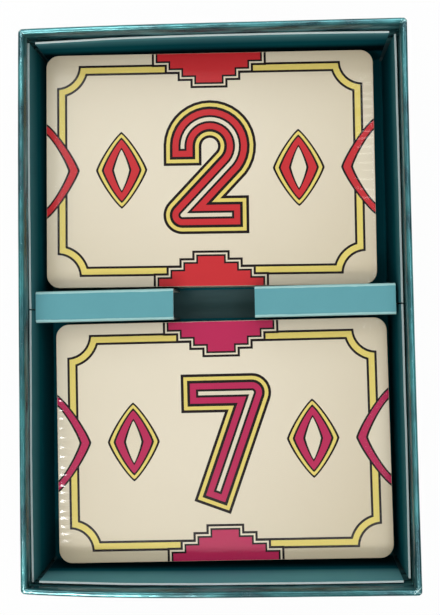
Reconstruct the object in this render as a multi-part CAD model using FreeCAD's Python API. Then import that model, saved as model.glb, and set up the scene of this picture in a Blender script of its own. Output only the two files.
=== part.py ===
import FreeCAD, Part
import os

from FreeCAD import Vector

# Open card-game box: a foil-wrapped rigid tray, a folded paperboard insert with two wells,
# and two film-wrapped decks of cards. Millimetres, +Z up, origin under the middle of the base.
# X runs along the cards' long side, Y along the box's long side.

# Cards and decks
CARD_LENGTH = 88.9
CARD_WIDTH = 63.5
CARD_THICKNESS = 0.31
CARD_CORNER = 3.5
FILM_THICKNESS = 0.08
FILM_PLAY = 0.05         # gap between the cards' edges and the film
VENT_DIAMETER = 1.2      # the film's vent hole
UPPER_SHIFT_X = -1.5     # each deck's middle from its well's middle
UPPER_SHIFT_Y = 0.0
LOWER_SHIFT_X = 0.8
LOWER_SHIFT_Y = 0.6
UPPER_TURN_DEG = -0.3    # counter-clockwise from above
LOWER_TURN_DEG = 0.4

# Cards in each set of like cards, from the top of the deck down
UPPER_COUNTS = (10, 11, 12, 1, 1, 1, 1, 1, 1, 3, 3, 3)
LOWER_COUNTS = (1, 1, 2, 3, 4, 5, 6, 7, 8, 9)

# Insert
SHEET_THICKNESS = 0.5
SIDE_PLAY = 5.7          # a well's width over the cards' length
UPPER_PLAY = 1.25        # a well's length over the cards' width
LOWER_PLAY = 2.85
INSERT_DROP = 5.5        # insert's cut edge below the tray's rim
FOLD_RADIUS = 0.4        # inside radius of a floor fold
CORNER_SLIT = 0.6        # open slit beside each wall flap's corner
FLAP_SLIT = 0.8          # cut between the two flaps of a long wall
DIVIDER_WIDTH = 8.0
DIVIDER_DROP = 4.3       # divider's top below the insert's cut edge
DIVIDER_FOLD_RADIUS = 0.6
DIVIDER_PLAY = 0.6       # gap between a divider end and the side wall
NOTCH_LENGTH = 20.7      # finger notch between the divider's two blocks

# Tray
HEADROOM = 20.5          # rim above the taller deck
INSERT_PLAY = 0.2        # gap between insert and tray, each side
BOARD_THICKNESS = 1.2    # greyboard floor and walls
PAPER_THICKNESS = 0.15   # wrap and lining paper
TURN_IN = 20.0           # how far the wrap comes down inside the rim
TRAY_CORNER = 0.7        # outside corner radius of the wrapped tray
STAY_THICKNESS = 0.1     # gummed paper corner stays
STAY_LEG = 12.0          # how far a stay reaches along each wall
STAY_MARGIN = 3.0        # bare board above and below a stay

# Worked out from the sizes above
WALL = BOARD_THICKNESS + 2 * PAPER_THICKNESS
RIM_ROUND = WALL / 3
WELL_FLOOR = WALL + SHEET_THICKNESS
WELL_WIDTH = CARD_LENGTH + SIDE_PLAY
UPPER_WELL_LENGTH = CARD_WIDTH + UPPER_PLAY
LOWER_WELL_LENGTH = CARD_WIDTH + LOWER_PLAY
INSERT_WIDTH = WELL_WIDTH + 2 * SHEET_THICKNESS
INSERT_LENGTH = UPPER_WELL_LENGTH + DIVIDER_WIDTH + LOWER_WELL_LENGTH + 2 * SHEET_THICKNESS
CAVITY_WIDTH = INSERT_WIDTH + 2 * INSERT_PLAY
CAVITY_LENGTH = INSERT_LENGTH + 2 * INSERT_PLAY
TRAY_WIDTH = CAVITY_WIDTH + 2 * WALL
TRAY_LENGTH = CAVITY_LENGTH + 2 * WALL
STACK_FLOOR = WELL_FLOOR + FILM_THICKNESS
DECK_TOP = STACK_FLOOR + max(sum(UPPER_COUNTS), sum(LOWER_COUNTS)) * CARD_THICKNESS + FILM_THICKNESS
TRAY_HEIGHT = DECK_TOP + HEADROOM
INSERT_TOP = TRAY_HEIGHT - INSERT_DROP
DIVIDER_TOP = INSERT_TOP - DIVIDER_DROP
DIVIDER_Y = (LOWER_WELL_LENGTH - UPPER_WELL_LENGTH) / 2
UPPER_WELL_Y = DIVIDER_Y + (DIVIDER_WIDTH + UPPER_WELL_LENGTH) / 2
LOWER_WELL_Y = DIVIDER_Y - (DIVIDER_WIDTH + LOWER_WELL_LENGTH) / 2
UPPER_PLACE = (UPPER_SHIFT_X, UPPER_WELL_Y + UPPER_SHIFT_Y)
LOWER_PLACE = (LOWER_SHIFT_X, LOWER_WELL_Y + LOWER_SHIFT_Y)
OVERCUT = 1.0            # how far a cutting block runs past what it cuts
SAME = 1e-6              # coordinates closer than this are the same


def block(x_range, y_range, z_range):
    """A plain block between the given low and high corners."""
    (x0, x1), (y0, y1), (z0, z1) = x_range, y_range, z_range
    return Part.makeBox(x1 - x0, y1 - y0, z1 - z0, Vector(x0, y0, z0))


def centred(size):
    """Low and high ends of a span of this size about zero."""
    return (-size / 2, size / 2)


def upright_edges(shape):
    """Edges that stand along Z."""
    return [e for e in shape.Edges if e.BoundBox.ZLength > SAME
            and e.BoundBox.XLength < SAME and e.BoundBox.YLength < SAME]


def edges_at_height(shape, z):
    """Edges that lie in the level plane at height z."""
    return [e for e in shape.Edges
            if abs(e.BoundBox.ZMin - z) < SAME and abs(e.BoundBox.ZMax - z) < SAME]


def rounded_slab(length, width, z_range, corner):
    """A level slab about the Z axis with rounded upright corners."""
    slab = block(centred(length), centred(width), z_range)
    return slab.makeFillet(corner, upright_edges(slab))


def tray_form(inset):
    """The open tray, drawn in by inset from its visible skin on every side."""
    top = TRAY_HEIGHT - inset
    outer = rounded_slab(TRAY_WIDTH - 2 * inset, TRAY_LENGTH - 2 * inset, (inset, top), TRAY_CORNER - inset)
    cavity = block(centred(CAVITY_WIDTH + 2 * inset), centred(CAVITY_LENGTH + 2 * inset),
                   (WALL - inset, top + OVERCUT))
    form = outer.cut(cavity)
    return form.makeFillet(RIM_ROUND - inset, edges_at_height(form, top))


def corner_stays():
    """Four paper angles let into the board's outside corners."""
    z_range = (PAPER_THICKNESS + STAY_MARGIN, TRAY_HEIGHT - PAPER_THICKNESS - RIM_ROUND - STAY_MARGIN)
    width = TRAY_WIDTH - 2 * PAPER_THICKNESS
    length = TRAY_LENGTH - 2 * PAPER_THICKNESS
    corner = TRAY_CORNER - PAPER_THICKNESS
    skin = rounded_slab(width, length, z_range, corner)
    core = rounded_slab(width - 2 * STAY_THICKNESS, length - 2 * STAY_THICKNESS, z_range,
                        corner - STAY_THICKNESS)
    ring = skin.cut(core)
    stays = []
    for side_x in (-1, 1):
        for side_y in (-1, 1):
            x_range = sorted((side_x * width / 2, side_x * (width / 2 - STAY_LEG)))
            y_range = sorted((side_y * length / 2, side_y * (length / 2 - STAY_LEG)))
            stays.extend(ring.common(block(x_range, y_range, z_range)).Solids)
    return Part.makeCompound(stays)


def tray_papers():
    """The wrap outside and over the rim, and the lining below its turned-in edge."""
    skin = tray_form(0).cut(tray_form(PAPER_THICKNESS))
    lined = block(centred(CAVITY_WIDTH + 2 * PAPER_THICKNESS), centred(CAVITY_LENGTH + 2 * PAPER_THICKNESS),
                  (WALL - PAPER_THICKNESS, TRAY_HEIGHT - TURN_IN))
    return skin.cut(lined), skin.common(lined)


def folded_pan(width, length, bottom, top, fold):
    """A solid pan shape whose bottom edges are rounded as folds are."""
    pan = block(centred(width), centred(length), (bottom, top))
    return pan.makeFillet(fold, edges_at_height(pan, bottom))


def folded_ridge(x_range, width, top, fold):
    """A solid ridge along X, whose two long top edges are rounded as folds are."""
    ridge = block(x_range, centred(width), (WALL, top))
    return ridge.makeFillet(fold, [e for e in edges_at_height(ridge, top) if e.BoundBox.YLength < SAME])


def divider_block(x_range):
    """One hollow block of the divider, open below and at both ends."""
    outer = folded_ridge(x_range, DIVIDER_WIDTH, DIVIDER_TOP, DIVIDER_FOLD_RADIUS + SHEET_THICKNESS)
    hollow = folded_ridge(x_range, DIVIDER_WIDTH - 2 * SHEET_THICKNESS, DIVIDER_TOP - SHEET_THICKNESS,
                          DIVIDER_FOLD_RADIUS)
    return outer.cut(hollow).translated(Vector(0, DIVIDER_Y, 0))


def card_insert():
    """The folded sheet: two floors, wall flaps, and the divider's two blocks between them."""
    pan = folded_pan(INSERT_WIDTH, INSERT_LENGTH, WALL, INSERT_TOP, FOLD_RADIUS + SHEET_THICKNESS)
    inside = folded_pan(INSERT_WIDTH - 2 * SHEET_THICKNESS, INSERT_LENGTH - 2 * SHEET_THICKNESS,
                        WELL_FLOOR, INSERT_TOP + OVERCUT, FOLD_RADIUS)
    sheet = pan.cut(inside)

    # The sheet rises into the divider, so the floor is open under it, and the flaps beside it
    # are cut free of the floor.
    fold_top = WELL_FLOOR + FOLD_RADIUS
    under = block(centred(INSERT_WIDTH), centred(DIVIDER_WIDTH - 2 * SHEET_THICKNESS), (WALL, fold_top))
    slit = block(centred(INSERT_WIDTH), centred(FLAP_SLIT), (WALL, INSERT_TOP))
    sheet = sheet.cut([s.translated(Vector(0, DIVIDER_Y, 0)) for s in (under, slit)])

    # Each corner is cut away, so that the wall flaps stand apart.
    reach = SHEET_THICKNESS + CORNER_SLIT
    for side_x in (-1, 1):
        for side_y in (-1, 1):
            x_range = sorted((side_x * INSERT_WIDTH / 2, side_x * (INSERT_WIDTH / 2 - reach)))
            y_range = sorted((side_y * INSERT_LENGTH / 2, side_y * (INSERT_LENGTH / 2 - reach)))
            sheet = sheet.cut(block(x_range, y_range, (WALL, INSERT_TOP)))

    divider_end = INSERT_WIDTH / 2 - SHEET_THICKNESS - DIVIDER_PLAY
    notch_end = NOTCH_LENGTH / 2
    blocks = [divider_block((-divider_end, -notch_end)), divider_block((notch_end, divider_end))]
    return sheet.fuse(blocks).removeSplitter()


def placed(shape, place, turn):
    """A deck piece made about the Z axis, turned and moved to its well."""
    moved = shape.copy()
    moved.rotate(Vector(0, 0, 0), Vector(0, 0, 1), turn)
    moved.translate(Vector(place[0], place[1], 0))
    return moved


def deck_film(card_count):
    """The clear film round a deck, with a vent hole in each short side."""
    stack = (STACK_FLOOR, STACK_FLOOR + card_count * CARD_THICKNESS)
    skin = (WELL_FLOOR, stack[1] + FILM_THICKNESS)
    inner = rounded_slab(CARD_LENGTH + 2 * FILM_PLAY, CARD_WIDTH + 2 * FILM_PLAY, stack,
                         CARD_CORNER + FILM_PLAY)
    grow = FILM_PLAY + FILM_THICKNESS
    outer = rounded_slab(CARD_LENGTH + 2 * grow, CARD_WIDTH + 2 * grow, skin, CARD_CORNER + grow)
    reach = CARD_LENGTH + 2 * grow + 2 * OVERCUT
    vents = Part.makeCylinder(VENT_DIAMETER / 2, reach, Vector(-reach / 2, 0, sum(stack) / 2),
                              Vector(1, 0, 0))
    return outer.cut([inner, vents])


def deck_sets(counts):
    """Each set of like cards as separate cards, the first set on top."""
    top = STACK_FLOOR + sum(counts) * CARD_THICKNESS
    sets = []
    for size in counts:
        cards = []
        for _ in range(size):
            cards.append(rounded_slab(CARD_LENGTH, CARD_WIDTH, (top - CARD_THICKNESS, top), CARD_CORNER))
            top -= CARD_THICKNESS
        sets.append(Part.makeCompound(cards))
    return sets


def build():
    """Every node of the part, by name."""
    wrap, liner = tray_papers()
    stays = corner_stays()
    nodes = {
        "tray_board": tray_form(PAPER_THICKNESS).cut(stays),
        "corner_stays": stays,
        "foil_wrap": wrap,
        "tray_liner": liner,
        "card_insert": card_insert(),
    }
    decks = (("upper", UPPER_COUNTS, UPPER_PLACE, UPPER_TURN_DEG),
             ("lower", LOWER_COUNTS, LOWER_PLACE, LOWER_TURN_DEG))
    for deck, counts, place, turn in decks:
        nodes[deck + "_film"] = placed(deck_film(sum(counts)), place, turn)
        for number, cards in enumerate(deck_sets(counts), start=1):
            nodes["%s_set_%02d" % (deck, number)] = placed(cards, place, turn)
    return nodes


os.makedirs("parts", exist_ok=True)
for name, shape in build().items():
    shape.exportStep("parts/" + name + ".step")
    box = shape.BoundBox
    print("%-14s solids %2d  valid %s  volume %9.1f  z %.2f to %.2f"
          % (name, len(shape.Solids), shape.isValid(), shape.Volume, box.ZMin, box.ZMax))
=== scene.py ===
# %% [markdown]
# # A card game in its tray
# The object is an open rigid tray of greyboard, wrapped in turquoise foil paper. A folded paperboard
# insert makes two wells in it, and a deck of cards in clear shrink film lies in each well.
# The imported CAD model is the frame: it fixes every size and place, and the bodies that move.
# This script dresses it, one step at a time, with modelled skins and procedural finishes.

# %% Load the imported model
import bisect
import math
import random

import bmesh
import bpy
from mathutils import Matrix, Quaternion, Vector, noise


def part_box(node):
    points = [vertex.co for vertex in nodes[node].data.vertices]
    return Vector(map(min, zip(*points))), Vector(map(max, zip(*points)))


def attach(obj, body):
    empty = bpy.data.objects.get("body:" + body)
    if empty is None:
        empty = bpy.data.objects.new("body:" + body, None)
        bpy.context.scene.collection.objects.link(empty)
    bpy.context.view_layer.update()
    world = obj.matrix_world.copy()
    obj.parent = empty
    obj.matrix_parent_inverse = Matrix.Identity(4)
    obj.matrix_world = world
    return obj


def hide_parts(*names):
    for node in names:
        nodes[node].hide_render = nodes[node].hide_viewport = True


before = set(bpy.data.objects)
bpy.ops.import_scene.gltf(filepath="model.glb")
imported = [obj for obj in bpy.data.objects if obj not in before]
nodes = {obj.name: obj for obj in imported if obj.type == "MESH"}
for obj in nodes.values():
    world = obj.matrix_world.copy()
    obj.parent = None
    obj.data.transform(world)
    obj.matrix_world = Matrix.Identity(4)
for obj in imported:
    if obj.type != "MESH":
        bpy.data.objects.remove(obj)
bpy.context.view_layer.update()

MM = 0.001
scene = bpy.context.scene

# %% Measure the frame
tray_low, tray_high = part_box("foil_wrap")
insert_low, insert_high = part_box("card_insert")
tray_half = (tray_high - tray_low) / 2
insert_half = (insert_high - insert_low) / 2
RIM = tray_high.z
INSERT_EDGE = insert_high.z
print("tray half size:", [round(side / MM, 2) for side in tray_half])
print("insert half size:", [round(side / MM, 2) for side in insert_half])
print("insert edge at", round(INSERT_EDGE / MM, 2), "mm, rim at", round(RIM / MM, 2), "mm")

# %% [markdown]
# ## Camera
# The photograph looks almost straight down into the tray. The camera stands where the rim, the insert's
# edge and the four card corners land on their pixels. The picture was cropped, so its middle isn't the
# lens's middle: a small vertical shift makes up for that.

# %% Camera
PICTURE_HEIGHT = 615
FOCAL_LENGTH_PIXELS = 1086.0
LENS_MIDDLE_ROW = 255
CAMERA_OVER_RIM = Vector((10.13, -3.33, 271.4)) * MM
CAMERA_TURN = Vector((0.0581, 0.0324, -0.0182))

lens = bpy.data.cameras.new("camera")
lens.lens = FOCAL_LENGTH_PIXELS * lens.sensor_width / PICTURE_HEIGHT
lens.shift_y = (LENS_MIDDLE_ROW - PICTURE_HEIGHT / 2) / PICTURE_HEIGHT
lens.clip_start = 10 * MM
camera = bpy.data.objects.new("camera", lens)
camera.location = CAMERA_OVER_RIM + Vector((0, 0, RIM))
camera.rotation_mode = "QUATERNION"
camera.rotation_quaternion = Quaternion(CAMERA_TURN.normalized(), CAMERA_TURN.length)
scene.collection.objects.link(camera)
scene.camera = camera
print("lens:", round(lens.lens, 2), "mm, shift", round(lens.shift_y, 4))

# %% [markdown]
# ## Shader helpers
# Every finish below is a small tree of shader nodes. One helper adds a node and sets or links its
# sockets in a single line, so a material reads from top to bottom like a recipe.

# %% Shader helpers
def add_node(tree, kind, inputs=None, **settings):
    """A shader node: settings are its properties, and each input is a plain value or a socket to link."""
    made = tree.nodes.new(kind)
    for name, value in settings.items():
        setattr(made, name, value)
    for name, value in (inputs or {}).items():
        if isinstance(value, bpy.types.NodeSocket):
            tree.links.new(value, made.inputs[name])
        else:
            made.inputs[name].default_value = value
    return made


def start_material(name):
    """A new material, its node tree and its Principled shader."""
    made = bpy.data.materials.new(name)
    made.use_nodes = True
    return made, made.node_tree, made.node_tree.nodes["Principled BSDF"]


def calculate(tree, operation, *values):
    """The output socket of one Math node."""
    return add_node(tree, "ShaderNodeMath", dict(enumerate(values)), operation=operation).outputs[0]


def rescale(tree, value, low, high, new_low=0.0, new_high=1.0):
    """The output socket of a Map Range node, which takes low to new_low and high to new_high."""
    inputs = {"Value": value, "From Min": low, "From Max": high, "To Min": new_low, "To Max": new_high}
    return add_node(tree, "ShaderNodeMapRange", inputs).outputs[0]


print("shader helpers ready")

# %% [markdown]
# ## Stage and light
# The tray stands on a plain white floor. To the camera the floor is nearly white whatever the light, and
# a part of its own shading is kept, so that the tray still has a shadow. The sky is white at the horizon
# and dim overhead, as a ceiling is.
# The light comes from flat panels that face down. The broad middle panel only lights, and isn't mirrored,
# because someone who looks straight down into a tray hides that part of the ceiling from it. A small lamp
# on the near side gives the narrow shade beside the insert's divider, and it isn't mirrored either.
# Shiny things look like what they mirror, so the foil and the film get windows of their own. These are
# seen only in gloss and light nothing: each stands where one side of the rim, or the flanks of the
# film's puckers, throw the view back to.

# %% Floor
FLOOR_SIZE = 6.0
FLOOR_SHOWN_WHITE = 0.96
FLOOR_GAP = 0.05 * MM
FLOOR_GREY = (0.86, 0.86, 0.86, 1)

floor_mesh = bpy.data.meshes.new("floor")
signs = ((-1, -1), (1, -1), (1, 1), (-1, 1))
corners = [(x * FLOOR_SIZE / 2, y * FLOOR_SIZE / 2, -FLOOR_GAP) for x, y in signs]
floor_mesh.from_pydata(corners, [], [(0, 1, 2, 3)])
floor = bpy.data.objects.new("floor", floor_mesh)
scene.collection.objects.link(floor)


def seen_directly(tree):
    """A socket that is 1 for rays from the camera, mirrors and glass, and 0 for rays that light things."""
    ray = add_node(tree, "ShaderNodeLightPath").outputs
    mirrored = calculate(tree, "MAXIMUM", ray["Is Glossy Ray"], ray["Is Transmission Ray"])
    return calculate(tree, "MAXIMUM", ray["Is Camera Ray"], mirrored)


floor_finish, tree, shader = start_material("floor_white")
shader.inputs["Base Color"].default_value = FLOOR_GREY
shader.inputs["Roughness"].default_value = 0.9
white = add_node(tree, "ShaderNodeEmission", {"Strength": 1.0})
shown = calculate(tree, "MULTIPLY", seen_directly(tree), FLOOR_SHOWN_WHITE)
mixed = add_node(tree, "ShaderNodeMixShader", {0: shown, 1: shader.outputs[0], 2: white.outputs[0]})
tree.links.new(mixed.outputs[0], tree.nodes["Material Output"].inputs["Surface"])
floor_mesh.materials.append(floor_finish)
print("floor:", FLOOR_SIZE, "m wide")

# %% Sky
HORIZON_LIGHT, CEILING_LIGHT = 1.0, 0.14
HORIZON_END, CEILING_START = 0.1, 0.35
world = bpy.data.worlds.new("studio")
scene.world = world
world.use_nodes = True
tree = world.node_tree
direction = add_node(tree, "ShaderNodeTexCoord").outputs["Generated"]
rise = add_node(tree, "ShaderNodeSeparateXYZ", {0: direction}).outputs[2]
sky = rescale(tree, rise, HORIZON_END, CEILING_START, HORIZON_LIGHT, CEILING_LIGHT)
tree.links.new(sky, tree.nodes["Background"].inputs["Strength"])
tree.nodes["Background"].inputs["Color"].default_value = (1, 1, 1, 1)
scene.view_settings.view_transform = "Standard"
print("sky from", HORIZON_LIGHT, "at the horizon to", CEILING_LIGHT, "overhead")

# %% Lamps
DAYLIGHT = (0.84, 0.95, 1.07)
WARM_WHITE = (1.0, 0.92, 0.83)
WHITE = (1.0, 1.0, 1.0)


def panel_lamp(name, place, width, depth, watts, tint=WHITE, mirrored=True, lights=True, tilt=0):
    """A flat lamp that faces down, or is tilted towards the far side by some degrees."""
    lamp = bpy.data.lights.new(name, "AREA")
    lamp.shape = "RECTANGLE"
    lamp.size, lamp.size_y = width, depth
    lamp.energy = watts
    lamp.color = tint
    made = bpy.data.objects.new(name, lamp)
    made.location = place
    made.rotation_euler.x = math.radians(tilt)
    made.visible_glossy = mirrored
    made.visible_diffuse = lights
    scene.collection.objects.link(made)


panel_lamp("key_lamp", (-0.045, -0.16, 0.335), 0.014, 0.014, 0.3, DAYLIGHT, mirrored=False, tilt=90)
panel_lamp("middle_panel", (-0.06, 0.0, 0.9), 0.9, 0.9, 4.4, WARM_WHITE, mirrored=False)
panel_lamp("far_panel", (0.0, 0.62, 0.75), 1.0, 0.6, 2.7, DAYLIGHT)
panel_lamp("right_panel", (0.25, 0.0, 1.0), 0.12, 1.0, 1.2, DAYLIGHT)
panel_lamp("left_panel", (-0.32, 0.0, 1.0), 0.12, 1.0, 0.6, DAYLIGHT)
panel_lamp("near_panel", (0.0, -0.35, 1.0), 0.5, 0.08, 1.6, mirrored=False)
panel_lamp("near_rim_window", (0.0, -0.35, 1.0), 0.5, 0.08, 1.4, lights=False)
panel_lamp("far_rim_window", (-0.2, 0.4, 1.0), 0.2, 0.1, 1.2, lights=False)
panel_lamp("left_rim_window", (-0.265, 0.19, 1.0), 0.05, 0.24, 0.25, DAYLIGHT, lights=False)
panel_lamp("left_film_window", (-0.22, -0.48, 1.0), 0.1, 0.24, 4.5, lights=False)
panel_lamp("right_film_window", (0.16, 0.56, 1.0), 0.2, 0.4, 0.7, lights=False)
print("lamps:", [light.name for light in bpy.data.lights])

# %% [markdown]
# ## Shared effects
# Paper, board and card all show fibres and a faint cloudiness, so that effect is one node group with
# its own inputs. The rubbing that bares pale paper along edges is another, driven by a number that each
# modelled mesh stores on its points; on the insert's divider folds the same group paints a highlight.
# The third is the crinkle that foil paper and film share.

# %% Helpers for node groups
FLOAT, COLOUR, VECTOR = "NodeSocketFloat", "NodeSocketColor", "NodeSocketVector"


def start_group(name, inputs, outputs):
    """An empty shader node group with these sockets, and its input and output nodes."""
    group = bpy.data.node_groups.new(name, "ShaderNodeTree")
    for label, kind, value in inputs:
        group.interface.new_socket(label, in_out="INPUT", socket_type=kind).default_value = value
    for label, kind in outputs:
        group.interface.new_socket(label, in_out="OUTPUT", socket_type=kind)
    return group, group.nodes.new("NodeGroupInput").outputs, group.nodes.new("NodeGroupOutput").inputs


def blend_colours(tree, share, first, second):
    """The output socket of a colour mix: first where share is 0, second where it is 1."""
    mixed = add_node(tree, "ShaderNodeMix", data_type="RGBA")
    for socket, value in ((0, share), (6, first), (7, second)):
        if isinstance(value, bpy.types.NodeSocket):
            tree.links.new(value, mixed.inputs[socket])
        else:
            mixed.inputs[socket].default_value = value
    return mixed.outputs[2]


def noise_pattern(tree, place, size, detail, roughness=0.5):
    """The output socket of a noise texture."""
    inputs = {"Vector": place, "Scale": size, "Detail": detail, "Roughness": roughness}
    return add_node(tree, "ShaderNodeTexNoise", inputs).outputs[0]


def object_place(tree):
    """A socket with the place on the object, in metres."""
    return add_node(tree, "ShaderNodeTexCoord").outputs["Object"]


print("kinds of socket:", FLOAT, COLOUR, VECTOR)

# %% Node group for paper grain
paper_grain, given, wanted = start_group(
    "paper_grain",
    [("Colour", COLOUR, (1, 1, 1, 1)), ("Cloud Colour", COLOUR, (0.8, 0.8, 0.8, 1)),
     ("Cloud Size", FLOAT, 90.0), ("Fibre Size", FLOAT, 2600.0), ("Clouding", FLOAT, 0.5)],
    [("Colour", COLOUR), ("Height", FLOAT), ("Cloud", FLOAT)])
where = object_place(paper_grain)
clouds = noise_pattern(paper_grain, where, given["Cloud Size"], 4.0)
fibres = noise_pattern(paper_grain, where, given["Fibre Size"], 3.0)
broad = calculate(paper_grain, "MULTIPLY", clouds, 0.65)
both = calculate(paper_grain, "MULTIPLY_ADD", fibres, 0.35, broad)
cloud_share = calculate(paper_grain, "MULTIPLY", both, given["Clouding"])
toned = blend_colours(paper_grain, cloud_share, given["Colour"], given["Cloud Colour"])
paper_grain.links.new(toned, wanted["Colour"])
paper_grain.links.new(fibres, wanted["Height"])
paper_grain.links.new(clouds, wanted["Cloud"])
print("group:", paper_grain.name)

# %% Node groups for rubbed edges with a painted fold highlight, and crinkle
# Bares pale paper along edges; on the insert's folds it also paints a highlight.
edge_wear_and_highlight, given, wanted = start_group(
    "edge_wear_and_highlight",
    [("Edge", FLOAT, 0.0), ("Amount", FLOAT, 0.5), ("Size", FLOAT, 700.0)],
    [("Mask", FLOAT)])
speckle = noise_pattern(edge_wear_and_highlight, object_place(edge_wear_and_highlight), given["Size"], 5.0, 0.7)
worn = calculate(edge_wear_and_highlight, "MULTIPLY_ADD", given["Edge"], given["Amount"], speckle)
edge_wear_and_highlight.links.new(rescale(edge_wear_and_highlight, worn, 0.86, 1.0), wanted["Mask"])

crinkle, given, wanted = start_group(
    "crinkle",
    [("Sheet Place", VECTOR, (0, 0, 0)), ("Along", FLOAT, 100.0), ("Across", FLOAT, 1500.0)],
    [("Height", FLOAT), ("Patches", FLOAT)])
scales = add_node(crinkle, "ShaderNodeCombineXYZ", {0: given["Along"], 1: given["Across"], 2: 1.0})
stretched = add_node(crinkle, "ShaderNodeVectorMath", {0: given["Sheet Place"], 1: scales.outputs[0]},
                     operation="MULTIPLY").outputs[0]
patches = noise_pattern(crinkle, stretched, 0.23, 2.0)
crinkle.links.new(noise_pattern(crinkle, stretched, 1.0, 1.0), wanted["Height"])
crinkle.links.new(rescale(crinkle, patches, 0.35, 0.65), wanted["Patches"])
print("groups:", edge_wear_and_highlight.name, crinkle.name)

# %% [markdown]
# ## Finishes of the tray
# The foil paper is a thin metal layer under turquoise lacquer, glued over board. Half of its gloss is the
# metal's, in turquoise, and half the lacquer's, in white, so the shader is half metallic with a high index
# of refraction. Streaks run along the sheet where it is pulled over the rim, and it is more even on the
# outer walls. Pale paper shows where an edge has rubbed or a corner has cracked. Where the sheet is
# turned down inside it has only the cards to mirror, so it is darker there and shows them faintly.
# The board and stays inside are plain grey and brown paper, and the lining is dark teal paper.

# %% Helpers for finishes
def colour(red, green, blue):
    """A screen colour from 0 to 255 as the linear colour that shaders use."""
    linear = []
    for part in (red, green, blue):
        share = part / 255
        linear.append(share / 12.92 if share <= 0.04045 else ((share + 0.055) / 1.055) ** 2.4)
    return (*linear, 1.0)


def place_group(tree, group, **inputs):
    """One of the shared node groups, placed in a material with that material's own values."""
    sockets = {name.replace("_", " "): value for name, value in inputs.items()}
    return add_node(tree, "ShaderNodeGroup", sockets, node_tree=group)


def stored(tree, name, output="Fac"):
    """A socket with the number, or the Vector, that a mesh stores on its points under that name."""
    return add_node(tree, "ShaderNodeAttribute", attribute_name=name).outputs[output]


def cloudy_roughness(tree, shader, cloud, least, spread=0.2):
    """Lets the roughness follow a paper's cloudiness, from least up to least and spread."""
    tree.links.new(calculate(tree, "MULTIPLY_ADD", cloud, spread, least), shader.inputs["Roughness"])


def bump(tree, shader, height, distance, strength=1.0):
    """Makes a height pattern stand out of the surface by about that distance."""
    made = add_node(tree, "ShaderNodeBump", {"Height": height, "Distance": distance, "Strength": strength})
    tree.links.new(made.outputs["Normal"], shader.inputs["Normal"])


print("mid grey in linear light:", [round(part, 3) for part in colour(128, 128, 128)])

# %% Streaks in foil paper
EVEN_TONE, EVENNESS = 0.75, 0.8
FOIL_CRINKLE = 0.05 * MM


def foil_sheet(name, light, dark):
    """A sheet of foil paper whose tone changes in streaks, and its nodes for the rest of the finish."""
    made, tree, shader = start_material(name)
    sheet_place = stored(tree, "sheet_place", "Vector")
    streaks = place_group(tree, crinkle, Sheet_Place=sheet_place, Along=380.0, Across=1200.0)
    patches = streaks.outputs["Patches"]
    evened = calculate(tree, "MULTIPLY", stored(tree, "depth"), EVENNESS)
    tone = calculate(tree, "MULTIPLY_ADD", evened, calculate(tree, "SUBTRACT", EVEN_TONE, patches), patches)
    lacquer = blend_colours(tree, tone, dark, light)
    grain = place_group(tree, paper_grain, Colour=lacquer, Cloud_Colour=dark, Cloud_Size=60.0, Clouding=0.5)
    return made, tree, shader, streaks, grain


print("foil crinkles by", FOIL_CRINKLE / MM, "mm")

# %% Foil paper
FOIL = colour(62, 150, 150)
FOIL_DEEP = colour(8, 74, 80)
RUBBED_FOIL = colour(170, 212, 210)
CREASE_WIDTH = 0.008
CRACKED_WEAR = 1.05

foil_finish, tree, shader, streaks, grain = foil_sheet("turquoise_foil_paper", FOIL, FOIL_DEEP)
edge = stored(tree, "wear_and_highlight")
rub_and_highlight = place_group(tree, edge_wear_and_highlight, Edge=edge, Amount=0.27, Size=1100.0)
cracks = add_node(tree, "ShaderNodeTexVoronoi", {"Vector": object_place(tree), "Scale": 270.0},
                  feature="DISTANCE_TO_EDGE")
on_crack = calculate(tree, "LESS_THAN", cracks.outputs["Distance"], CREASE_WIDTH)
at_corner = calculate(tree, "GREATER_THAN", edge, CRACKED_WEAR)
bare = calculate(tree, "MAXIMUM", rub_and_highlight.outputs["Mask"], calculate(tree, "MULTIPLY", on_crack, at_corner))
rubbed = blend_colours(tree, bare, grain.outputs["Colour"], RUBBED_FOIL)
tree.links.new(rubbed, shader.inputs["Base Color"])
tree.links.new(calculate(tree, "MULTIPLY_ADD", bare, -0.4, 0.5), shader.inputs["Metallic"])
cloudy_roughness(tree, shader, grain.outputs["Cloud"], 0.1)
shader.inputs["IOR"].default_value = 2.0
bump(tree, shader, streaks.outputs["Height"], FOIL_CRINKLE, 0.8)
print("finish:", foil_finish.name)

# %% Foil paper turned down inside
FOIL_INSIDE = colour(84, 136, 138)
FOIL_INSIDE_DEEP = colour(8, 50, 56)
LACQUER_TINT = (0.2, 0.8, 1.0, 1)

turned_in_finish, tree, shader, streaks, grain = foil_sheet(
    "turned_in_foil_paper", FOIL_INSIDE, FOIL_INSIDE_DEEP)
tree.links.new(grain.outputs["Colour"], shader.inputs["Base Color"])
cloudy_roughness(tree, shader, grain.outputs["Cloud"], 0.1)
shader.inputs["Specular IOR Level"].default_value = 0.07
shader.inputs["Specular Tint"].default_value = LACQUER_TINT
bump(tree, shader, streaks.outputs["Height"], FOIL_CRINKLE, 0.12)
print("finish:", turned_in_finish.name)

# %% Board, stays and lining
PAPER_RELIEF = 0.02 * MM


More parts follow.
